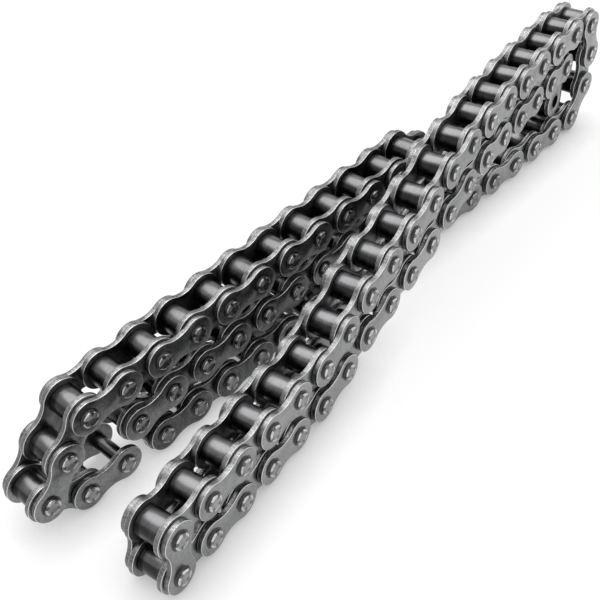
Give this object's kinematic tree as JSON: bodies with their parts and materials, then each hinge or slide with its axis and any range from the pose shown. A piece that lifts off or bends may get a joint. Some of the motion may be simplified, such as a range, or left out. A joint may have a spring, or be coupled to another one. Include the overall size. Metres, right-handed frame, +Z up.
{
  "type": "motorcycle chain",
  "caption": "Motorcycle roller chain folded into a flat bundle: waisted inner and outer link plates, riveted pins, bushes and rollers, hinged at the pins.",
  "frame": {"origin": "centre of the bundle's underside, on the surface that it lies on", "axes": "+X along the bundle's length and the right arm's level links, from the near fold to the far fold; +Y across it, parallel to the right arm's pins, to the left arm's side; +Z up"},
  "size_m": [0.26, 0.0582, 0.0484],
  "materials": {
    "plate_steel": "oiled dark steel, grey on the sheared edges",
    "pin_steel": "satin, riveted ends worn bright",
    "roller_steel": "blue-black, lightly oiled"
  },
  "bodies": {
    "floor_strand": {"floor_outer_plates": "plate_steel", "floor_pins": "pin_steel", "floor_inner_plates": "plate_steel", "floor_bushes": "plate_steel", "floor_rollers": "roller_steel", "roller_link_14": "plate_steel", "pin_link_15": "plate_steel", "roller_link_16": "plate_steel"},
    "link_01": {"pin_link_01": "plate_steel"},
    "link_02": {"roller_link_02": "plate_steel"},
    "link_03": {"pin_link_03": "plate_steel"},
    "link_04": {"roller_link_04": "plate_steel"},
    "link_05": {"pin_link_05": "plate_steel"},
    "link_06": {"roller_link_06": "plate_steel"},
    "link_07": {"pin_link_07": "plate_steel"},
    "link_08": {"roller_link_08": "plate_steel"},
    "link_09": {"pin_link_09": "plate_steel"},
    "link_10": {"roller_link_10": "plate_steel"},
    "link_11": {"pin_link_11": "plate_steel"},
    "link_12": {"roller_link_12": "plate_steel"},
    "link_13": {"pin_link_13": "plate_steel"},
    "link_45": {"pin_link_45": "plate_steel"},
    "link_46": {"roller_link_46": "plate_steel"},
    "link_47": {"pin_link_47": "plate_steel"},
    "link_48": {"roller_link_48": "plate_steel"},
    "far_top": {"pin_link_49": "plate_steel", "roller_link_50": "plate_steel"},
    "link_51": {"pin_link_51": "plate_steel"},
    "link_52": {"roller_link_52": "plate_steel"},
    "link_53": {"pin_link_53": "plate_steel"},
    "link_54": {"roller_link_54": "plate_steel"},
    "link_55": {"pin_link_55": "plate_steel"},
    "link_56": {"roller_link_56": "plate_steel"},
    "link_57": {"pin_link_57": "plate_steel"},
    "link_58": {"roller_link_58": "plate_steel"},
    "link_59": {"pin_link_59": "plate_steel"},
    "link_60": {"roller_link_60": "plate_steel"},
    "link_61": {"pin_link_61": "plate_steel"},
    "link_62": {"roller_link_62": "plate_steel"},
    "link_63": {"pin_link_63": "plate_steel"},
    "link_64": {"roller_link_64": "plate_steel"},
    "near_end": {"pin_link_65": "plate_steel", "roller_link_66": "plate_steel", "pin_link_67": "plate_steel", "low_outer_plates": "plate_steel", "low_pins": "pin_steel", "low_inner_plates": "plate_steel", "low_bushes": "plate_steel", "low_rollers": "roller_steel"},
    "free_end": {"roller_link_86": "plate_steel"},
    "roller_04a": {"roller_04a": "roller_steel"},
    "roller_04b": {"roller_04b": "roller_steel"},
    "roller_06a": {"roller_06a": "roller_steel"},
    "roller_06b": {"roller_06b": "roller_steel"},
    "roller_64a": {"roller_64a": "roller_steel"},
    "roller_64b": {"roller_64b": "roller_steel"},
    "roller_66a": {"roller_66a": "roller_steel"},
    "roller_66b": {"roller_66b": "roller_steel"}
  },
  "joints": [
    {"name": "pin_14_hinge", "type": "hinge", "parent": "floor_strand", "child": "link_13", "pos_m": [0.00768, 0.00308, 0.0303], "axis": [0.1323, 0.9912, 0], "range_deg": [0, 10]},
    {"name": "pin_13_hinge", "type": "hinge", "parent": "link_13", "child": "link_12", "pos_m": [-0.00491, 0.00476, 0.0303], "axis": [0.1323, 0.9912, 0], "range_deg": [-20, 0]},
    {"name": "pin_12_hinge", "type": "hinge", "parent": "link_12", "child": "link_11", "pos_m": [-0.0175, 0.00644, 0.0303], "axis": [0.1323, 0.9912, 0], "range_deg": [0, 10]},
    {"name": "pin_11_hinge", "type": "hinge", "parent": "link_11", "child": "link_10", "pos_m": [-0.03009, 0.00812, 0.0303], "axis": [0.1323, 0.9912, 0], "range_deg": [0, 10]},
    {"name": "pin_10_hinge", "type": "hinge", "parent": "link_10", "child": "link_09", "pos_m": [-0.04268, 0.0098, 0.0303], "axis": [0.1323, 0.9912, 0], "range_deg": [-20, 0]},
    {"name": "pin_09_hinge", "type": "hinge", "parent": "link_09", "child": "link_08", "pos_m": [-0.05526, 0.01148, 0.0303], "axis": [0.1323, 0.9912, 0], "range_deg": [0, 10]},
    {"name": "pin_08_hinge", "type": "hinge", "parent": "link_08", "child": "link_07", "pos_m": [-0.06785, 0.01316, 0.0303], "axis": [0.1323, 0.9912, 0], "range_deg": [0, 10]},
    {"name": "pin_07_hinge", "type": "hinge", "parent": "link_07", "child": "link_06", "pos_m": [-0.08044, 0.01484, 0.0303], "axis": [0.1323, 0.9912, 0], "range_deg": [-20, 0]},
    {"name": "pin_06_hinge", "type": "hinge", "parent": "link_06", "child": "link_05", "pos_m": [-0.09303, 0.01652, 0.0303], "axis": [0.1323, 0.9912, 0], "range_deg": [0, 10]},
    {"name": "pin_05_hinge", "type": "hinge", "parent": "link_05", "child": "link_04", "pos_m": [-0.10562, 0.0182, 0.0303], "axis": [0.1323, 0.9912, 0], "range_deg": [0, 60]},
    {"name": "pin_04_hinge", "type": "hinge", "parent": "link_04", "child": "link_03", "pos_m": [-0.11497, 0.01945, 0.0218], "axis": [0.1323, 0.9912, 0], "range_deg": [0, 45]},
    {"name": "pin_03_hinge", "type": "hinge", "parent": "link_03", "child": "link_02", "pos_m": [-0.1234, 0.02057, 0.01236], "axis": [0.1323, 0.9912, 0], "range_deg": [0, 100]},
    {"name": "pin_02_hinge", "type": "hinge", "parent": "link_02", "child": "link_01", "pos_m": [-0.11256, 0.01913, 0.0059], "axis": [0.1323, 0.9912, 0], "range_deg": [0, 45]},
    {"name": "pin_45_hinge", "type": "hinge", "parent": "floor_strand", "child": "link_45", "pos_m": [0.11378, -0.01961, 0.0059], "axis": [0.1063, 0.9943, 0], "range_deg": [0, 25]},
    {"name": "pin_46_hinge", "type": "hinge", "parent": "link_45", "child": "link_46", "pos_m": [0.1219, -0.02048, 0.01563], "axis": [0.1063, 0.9943, 0], "range_deg": [0, 25]},
    {"name": "pin_47_hinge", "type": "hinge", "parent": "link_46", "child": "link_47", "pos_m": [0.12366, -0.02064, 0.02821], "axis": [0.0785, 0.9969, 0], "range_deg": [0, 25]},
    {"name": "pin_48_hinge", "type": "hinge", "parent": "link_47", "child": "link_48", "pos_m": [0.12102, -0.02043, 0.04063], "axis": [0.0785, 0.9969, 0], "range_deg": [0, 25]},
    {"name": "pin_49_hinge", "type": "hinge", "parent": "link_48", "child": "far_top", "pos_m": [0.10849, -0.01962, 0.0425], "axis": [0.0506, 0.9987, 0], "range_deg": [0, 25]},
    {"name": "pin_51_hinge", "type": "hinge", "parent": "far_top", "child": "link_51", "pos_m": [0.08311, -0.01852, 0.0425], "axis": [0.0227, 0.9997, 0], "range_deg": [0, 8]},
    {"name": "pin_52_hinge", "type": "hinge", "parent": "link_51", "child": "link_52", "pos_m": [0.07042, -0.01823, 0.0425], "axis": [0.0227, 0.9997, 0], "range_deg": [-16, 0]},
    {"name": "pin_53_hinge", "type": "hinge", "parent": "link_52", "child": "link_53", "pos_m": [0.05772, -0.01812, 0.0425], "axis": [0, 1, 0], "range_deg": [0, 8]},
    {"name": "pin_54_hinge", "type": "hinge", "parent": "link_53", "child": "link_54", "pos_m": [0.04503, -0.01812, 0.04206], "axis": [0, 1, 0], "range_deg": [0, 10]},
    {"name": "pin_55_hinge", "type": "hinge", "parent": "link_54", "child": "link_55", "pos_m": [0.03239, -0.01812, 0.04074], "axis": [0, 1, 0], "range_deg": [-20, 0]},
    {"name": "pin_56_hinge", "type": "hinge", "parent": "link_55", "child": "link_56", "pos_m": [0.01997, -0.01812, 0.03812], "axis": [0, 1, 0], "range_deg": [0, 10]},
    {"name": "pin_57_hinge", "type": "hinge", "parent": "link_56", "child": "link_57", "pos_m": [0.00781, -0.01812, 0.03443], "axis": [0, 1, 0], "range_deg": [0, 10]},
    {"name": "pin_58_hinge", "type": "hinge", "parent": "link_57", "child": "link_58", "pos_m": [-0.00451, -0.01812, 0.03138], "axis": [0, 1, 0], "range_deg": [-20, 0]},
    {"name": "pin_59_hinge", "type": "hinge", "parent": "link_58", "child": "link_59", "pos_m": [-0.01698, -0.01812, 0.02897], "axis": [0, 1, 0], "range_deg": [0, 10]},
    {"name": "pin_60_hinge", "type": "hinge", "parent": "link_59", "child": "link_60", "pos_m": [-0.02941, -0.01812, 0.02635], "axis": [0, 1, 0], "range_deg": [0, 8]},
    {"name": "pin_61_hinge", "type": "hinge", "parent": "link_60", "child": "link_61", "pos_m": [-0.04135, -0.01812, 0.02204], "axis": [0, 1, 0], "range_deg": [-16, 0]},
    {"name": "pin_62_hinge", "type": "hinge", "parent": "link_61", "child": "link_62", "pos_m": [-0.05351, -0.01812, 0.01835], "axis": [0, 1, 0], "range_deg": [0, 8]},
    {"name": "pin_63_hinge", "type": "hinge", "parent": "link_62", "child": "link_63", "pos_m": [-0.06621, -0.01812, 0.01835], "axis": [0, 1, 0], "range_deg": [0, 8]},
    {"name": "pin_64_hinge", "type": "hinge", "parent": "link_63", "child": "link_64", "pos_m": [-0.07891, -0.01812, 0.01835], "axis": [0, 1, 0], "range_deg": [-16, 0]},
    {"name": "pin_65_hinge", "type": "hinge", "parent": "link_64", "child": "near_end", "pos_m": [-0.09161, -0.01812, 0.01835], "axis": [0, 1, 0], "range_deg": [0, 8]},
    {"name": "pin_86_hinge", "type": "hinge", "parent": "near_end", "child": "free_end", "pos_m": [0.10618, -0.01812, 0.03005], "axis": [0, 1, 0], "range_deg": [0, 4]},
    {"name": "roller_04a_spin", "type": "hinge", "parent": "link_04", "child": "roller_04a", "pos_m": [-0.11497, 0.01945, 0.0218], "axis": [0.1323, 0.9912, 0], "continuous": true},
    {"name": "roller_04b_spin", "type": "hinge", "parent": "link_04", "child": "roller_04b", "pos_m": [-0.10562, 0.0182, 0.0303], "axis": [0.1323, 0.9912, 0], "continuous": true},
    {"name": "roller_06a_spin", "type": "hinge", "parent": "link_06", "child": "roller_06a", "pos_m": [-0.09303, 0.01652, 0.0303], "axis": [0.1323, 0.9912, 0], "continuous": true},
    {"name": "roller_06b_spin", "type": "hinge", "parent": "link_06", "child": "roller_06b", "pos_m": [-0.08044, 0.01484, 0.0303], "axis": [0.1323, 0.9912, 0], "continuous": true},
    {"name": "roller_64a_spin", "type": "hinge", "parent": "link_64", "child": "roller_64a", "pos_m": [-0.07891, -0.01812, 0.01835], "axis": [0, 1, 0], "continuous": true},
    {"name": "roller_64b_spin", "type": "hinge", "parent": "link_64", "child": "roller_64b", "pos_m": [-0.09161, -0.01812, 0.01835], "axis": [0, 1, 0], "continuous": true},
    {"name": "roller_66a_spin", "type": "hinge", "parent": "near_end", "child": "roller_66a", "pos_m": [-0.10431, -0.01812, 0.01835], "axis": [0, 1, 0], "continuous": true},
    {"name": "roller_66b_spin", "type": "hinge", "parent": "near_end", "child": "roller_66b", "pos_m": [-0.11701, -0.01812, 0.01835], "axis": [0, 1, 0], "continuous": true}
  ],
  "couplings": [
    {"joint": "pin_13_hinge", "follows": "pin_14_hinge", "ratio": -2},
    {"joint": "pin_12_hinge", "follows": "pin_14_hinge", "ratio": 1},
    {"joint": "pin_10_hinge", "follows": "pin_11_hinge", "ratio": -2},
    {"joint": "pin_09_hinge", "follows": "pin_11_hinge", "ratio": 1},
    {"joint": "pin_07_hinge", "follows": "pin_08_hinge", "ratio": -2},
    {"joint": "pin_06_hinge", "follows": "pin_08_hinge", "ratio": 1},
    {"joint": "pin_52_hinge", "follows": "pin_51_hinge", "ratio": -2},
    {"joint": "pin_53_hinge", "follows": "pin_51_hinge", "ratio": 1},
    {"joint": "pin_55_hinge", "follows": "pin_54_hinge", "ratio": -2},
    {"joint": "pin_56_hinge", "follows": "pin_54_hinge", "ratio": 1},
    {"joint": "pin_58_hinge", "follows": "pin_57_hinge", "ratio": -2},
    {"joint": "pin_59_hinge", "follows": "pin_57_hinge", "ratio": 1},
    {"joint": "pin_60_hinge", "follows": "pin_62_hinge", "ratio": 1},
    {"joint": "pin_61_hinge", "follows": "pin_62_hinge", "ratio": -2},
    {"joint": "pin_63_hinge", "follows": "pin_65_hinge", "ratio": 1},
    {"joint": "pin_64_hinge", "follows": "pin_65_hinge", "ratio": -2}
  ]
}
